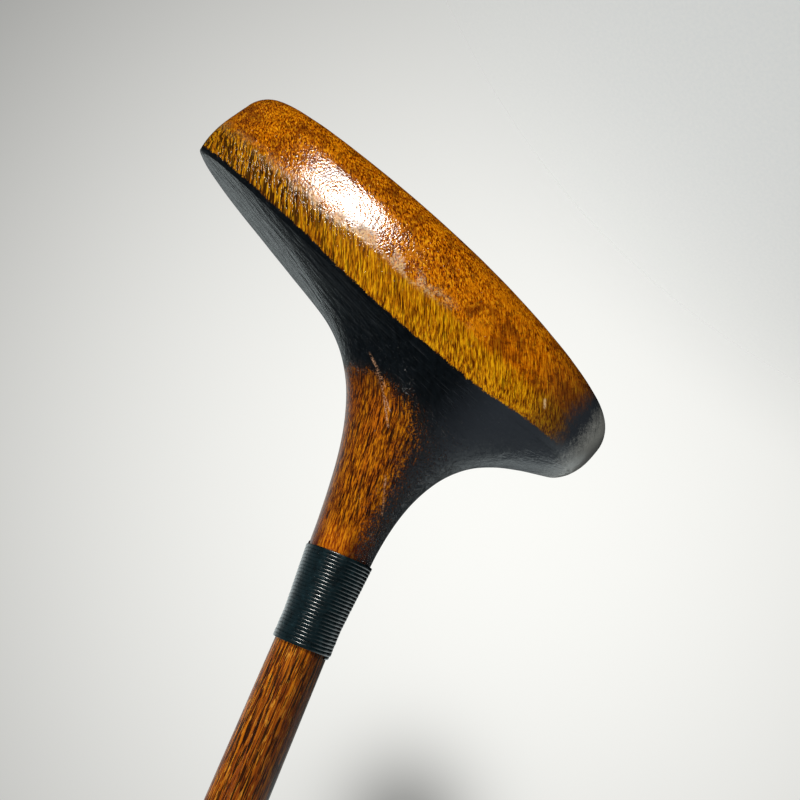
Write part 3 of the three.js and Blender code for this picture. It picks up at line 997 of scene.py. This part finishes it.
def leather_outer(along, angle):
    phase = strip_phase(along, angle)
    lap = lap_height * (phase - 0.5)
    groove = groove_depth * np.exp(-(to_seam(phase) / groove_width) ** 2)
    pinch = pinch_depth * np.exp(-min(along - grip_start, grip_end - along) / pinch_reach)
    soft = 0.1 * np.sin(angle * 2 + along * 0.07) * np.sin(along * 0.045)
    return leather_radius(along) + leather - pressed_in + lap - groove - pinch + soft


def wool_finish():
    material, f = new_material("wool_strip")
    x, y, z = f.split(f.place())
    weave = (x * 3.2).maths("SINE") * (z * 3.2).maths("SINE") * 0.5 + 0.5
    fibre = f.cloud(f.place(), 0.5, 4.0, 0.7)
    colour = f.ramp(fibre, (0.3, 120, 112, 92), (0.7, 168, 158, 134))
    f.surface(base_color=colour, roughness=0.95, normal=f.bump(weave * 0.5 + fibre * 0.5, 0.25))
    return material


def leather_finish():
    material, f = new_material("worn_leather")
    x, y, z = f.split(f.place())
    along, beside = on_the_shaft(x, z)
    wrap = f.node("Attribute", {"attribute_name": "seam"}, output="Fac")
    pebble = f.specks(f.place(), 0.9)
    crease = f.cloud(f.place(), 2.6, 4.0, 0.65)
    slow = f.cloud(f.place(), 26.0, 3.0)
    hands = (slow + (along - hands_at).maths("ABSOLUTE") * -0.0016 + 0.1).step(0.3, 0.62)
    colour = f.ramp(crease, (0.3, 46, 27, 17), (0.55, 74, 44, 27), (0.78, 100, 62, 38))
    colour = colour.coat(hands * 0.45, 112, 72, 44)
    colour = colour.coat(wrap * 0.85, 24, 14, 9)
    bent = f.bump(pebble * 0.5 + crease * 0.5, 0.22)
    f.surface(base_color=colour, roughness=crease * 0.3 - hands * 0.16 + 0.48, normal=bent,
              specular_ior_level=0.45)
    return material


wool, worn_leather = wool_finish(), leather_finish()
sleeve("wool_underlisting", wool_outer, listing_radius, wool, "wool_strip",
       "grip_underlisting", rings=60, count=72)
grip_rings, grip_count = 420, 132
grip = sleeve("leather_wrap", leather_outer, leather_radius, worn_leather, "grip_leather",
              "grip_leather", grip_rings, grip_count)
one_way = np.linspace(grip_start, grip_end, grip_rings)
alongs = np.repeat(np.r_[one_way, one_way[::-1]], grip_count)
angles = np.tile(once_round(grip_count), 2 * grip_rings)
seams = np.exp(-(to_seam(strip_phase(alongs, angles)) / seam_width) ** 2)
seam_data = grip.data.attributes.new("seam", "FLOAT", "POINT")
seam_data.data.foreach_set("value", seams)

# %% Bindings at both ends of the grip
grip_lay = (14, 0.83, 0.9, 0.7)  # the same four for the bindings
from_the_end, sunk_in = 0.1, 0.12


def over_leather(along):
    return leather_radius(along) + leather - sunk_in


for name, start, node_name, seed in (
        ("lower_binding", grip_start, "grip_lower_whipping", 11.0),
        ("upper_binding", grip_end - end_length, "grip_upper_whipping", 17.0)):
    winding(name, start + from_the_end, *grip_lay, over_leather, node_name, seed)

# %% [markdown]
# ## Floor, background and light
#
# In the photograph the club is held up in front of something pale, and the light comes
# past the sole. So the floor lies well below the club, fades out at its rim and throws
# no light back.
#
# A Light Path node tells camera rays from the rays that light the club. The camera sees a
# pale background, paler on one side, with a soft painted shadow low down. The gloss sees
# a room that is bright behind the club, most of all in a band a little above the horizon,
# with one small patch towards the heel for the twine.

# %% Background
# A painted shadow on the backdrop, seen by the camera only: where it lies and how it spreads.
backdrop_shadow_at, backdrop_shadow_up = (-0.415, 1.083, 0.104), (-0.687, 0.222, 0.692)  # directions
backdrop_shadow_squeeze, backdrop_shadow_tightness, backdrop_shadow_strength = 2.5, 125, 0.55
warm_white, cool_white = (1.0, 1.0, 0.965), (0.9, 1.0, 1.0, 1.0)
roof_glow, heel_patch = (0.6, 0.2, 0.75), (-0.95, 0.25, -0.06)  # directions too


def background():
    world = bpy.data.worlds.new("pale_room")
    world.use_nodes = True
    bpy.context.scene.world = world
    f = Finish(world.node_tree)
    x, y, z = f.split(f.node("TexCoord", output="Generated"))

    def facing(way):
        way = Vector(way).normalized()
        return x * way.x + y * way.y + z * way.z

    def glow(colour, strength):
        return f.node("Background", sockets={"Color": colour, "Strength": strength},
                      output="Background")

    def ray(kind):
        return f.node("LightPath", output=f"Is {kind} Ray")

    middle = Vector(backdrop_shadow_at).normalized()
    sideways = middle.cross(Vector(backdrop_shadow_up)).normalized()
    beside, beyond = facing(sideways), facing(sideways.cross(middle))
    beyond = beyond.high(0.0) * backdrop_shadow_squeeze - beyond.low(0.0)
    backdrop_shadow = ((beside * beside + beyond * beyond) * -backdrop_shadow_tightness).maths("EXPONENT")
    backdrop_shadow = backdrop_shadow * facing(middle).step(0.0, 0.5)
    paleness = y * 1.608 - x * 0.305 - z * 0.506 - 0.744 - backdrop_shadow * backdrop_shadow_strength
    paleness = paleness.high(0.86 - y.step(0.15, 0.65) * 0.5).low(0.975)
    seen = f.blend(paleness, (0.0, 0.0, 0.0), warm_white)

    room = (y * 0.8 - x * 0.6).step(-0.35, 0.5) * 0.9 + facing(roof_glow).step(0.7, 1.0) * 0.2
    room = (room + 0.04) * z.step(-0.25, 0.2) * (1 - z.step(0.3, 0.5) * 0.76)
    room = room + facing(heel_patch).step(0.955, 0.99) * 0.5
    plain, mirrored = glow((0.97, 0.99, 1.0, 1.0), 0.11), glow(cool_white, room * 0.93)
    light = f.mix(ray("Glossy").high(ray("Transmission")), plain, mirrored)
    f.node_out(f.mix(ray("Camera"), light, glow(seen, 1.0)), "OutputWorld")


background()
print("the room's nodes:", len(bpy.context.scene.world.node_tree.nodes))

# %% Floor
floor_drop, floor_reach, floor_middle = 0.62, 1.3, -0.12  # in metres


def floor():
    material, f = new_material("pale_floor")
    spot = f.place(1.0)
    x, y, z = f.split(spot)
    aside = x - floor_middle
    far = (aside * aside + y * y) ** 0.5
    mottle = f.cloud(spot, 0.004)
    paint = f.node("BsdfPrincipled", sockets={
        "Base Color": f.ramp(mottle, (0.3, 225, 227, 225), (0.7, 230, 231, 228)),
        "Roughness": 0.8}, output="BSDF")
    clear = f.node("BsdfTransparent", output="BSDF")
    rim = far.step(0.28 * floor_reach, 0.76 * floor_reach)
    f.node_out(f.mix(rim, paint, clear), "OutputMaterial")
    rings = [[(floor_middle + r * math.cos(a), r * math.sin(a), -floor_drop)
              for a in once_round(96)] for r in np.linspace(0.05, floor_reach, 12)]
    skin = stack(rings, (floor_middle, 0.0, -floor_drop))
    ground = new_object("floor", new_mesh("floor", *skin, unit=1))
    ground.data.materials.append(material)
    ground.visible_glossy = ground.visible_diffuse = False


floor()
print("floor below the club by", floor_drop, "m")

# %% Lamps
def softbox(name, aim, towards, distance, size, power, mirrored=False, spread=180,
            colour=(1.0, 1.0, 1.0)):
    """An oval of light that shines on a place, unseen by the camera.

    A spread below 180 degrees makes it a beam. Only a mirrored one shows in the gloss.
    """
    lamp = bpy.data.lights.new(name, "AREA")
    lamp.shape, lamp.size, lamp.size_y = "ELLIPSE", size[0], size[1]
    lamp.energy, lamp.spread, lamp.color = power, math.radians(spread), colour
    box = new_object(name, lamp)
    box.location = Vector(aim) + Vector(towards).normalized() * distance
    box.rotation_mode = "QUATERNION"
    box.rotation_quaternion = (box.location - Vector(aim)).to_track_quat("Z", "Y")
    box.visible_camera, box.visible_glossy = False, mirrored


shine_at, lamp_colour = (0.020, -0.014, 0.016), (1.0, 0.965, 0.9)
softbox("key_light", shine_at, (0.48, -0.75, -0.45), 0.9, (0.26, 0.15), 1.22, mirrored=True,
        spread=90, colour=lamp_colour)
softbox("toe_light", (-0.02, 0.0, 0.05), (0.5, -0.62, 0.6), 1.3, (0.6, 0.6), 8.0)
softbox("face_light", (-0.02, 0.014, 0.016), (0.1, 0.98, 0.1), 1.2, (0.8, 0.8), 8.0)
softbox("heel_light", (-0.05, 0.0, 0.05), (-0.75, 0.65, 0.1), 1.2, (0.8, 0.8), 1.8)
softbox("top_light", (-0.15, 0.1, 0.3), (0.0, 0.1, 1.0), 2.0, (1.2, 1.2), 18.0)
print("lamps:", len(bpy.data.lights))

# %% [markdown]
# ## The camera
#
# The photograph was taken from close by, so the shaft looks thicker as it nears the
# camera. From this place and tilt the model's outline falls on the photographed one.

# %% Camera
focal_length, sensor_width = 32.4, 36.0  # in millimetres
camera_at = (-0.01751, -0.15797, 0.08703)
camera_right, camera_up = (-0.72666, -0.20925, -0.65435), (0.68699, -0.22158, -0.69206)


def look():
    camera = new_object("camera", bpy.data.cameras.new("camera"))
    camera.data.lens, camera.data.sensor_width = focal_length, sensor_width
    camera.data.clip_start, camera.data.clip_end = 0.01, 20.0
    right = Vector(camera_right).normalized()
    back = right.cross(Vector(camera_up)).normalized()
    turn_to = Matrix((right, back.cross(right), back)).transposed().to_4x4()
    camera.matrix_world = Matrix.Translation(Vector(camera_at)) @ turn_to
    bpy.context.scene.camera = camera


look()
bpy.context.scene.view_settings.view_transform = "Standard"
print("camera at, m:", camera_at)
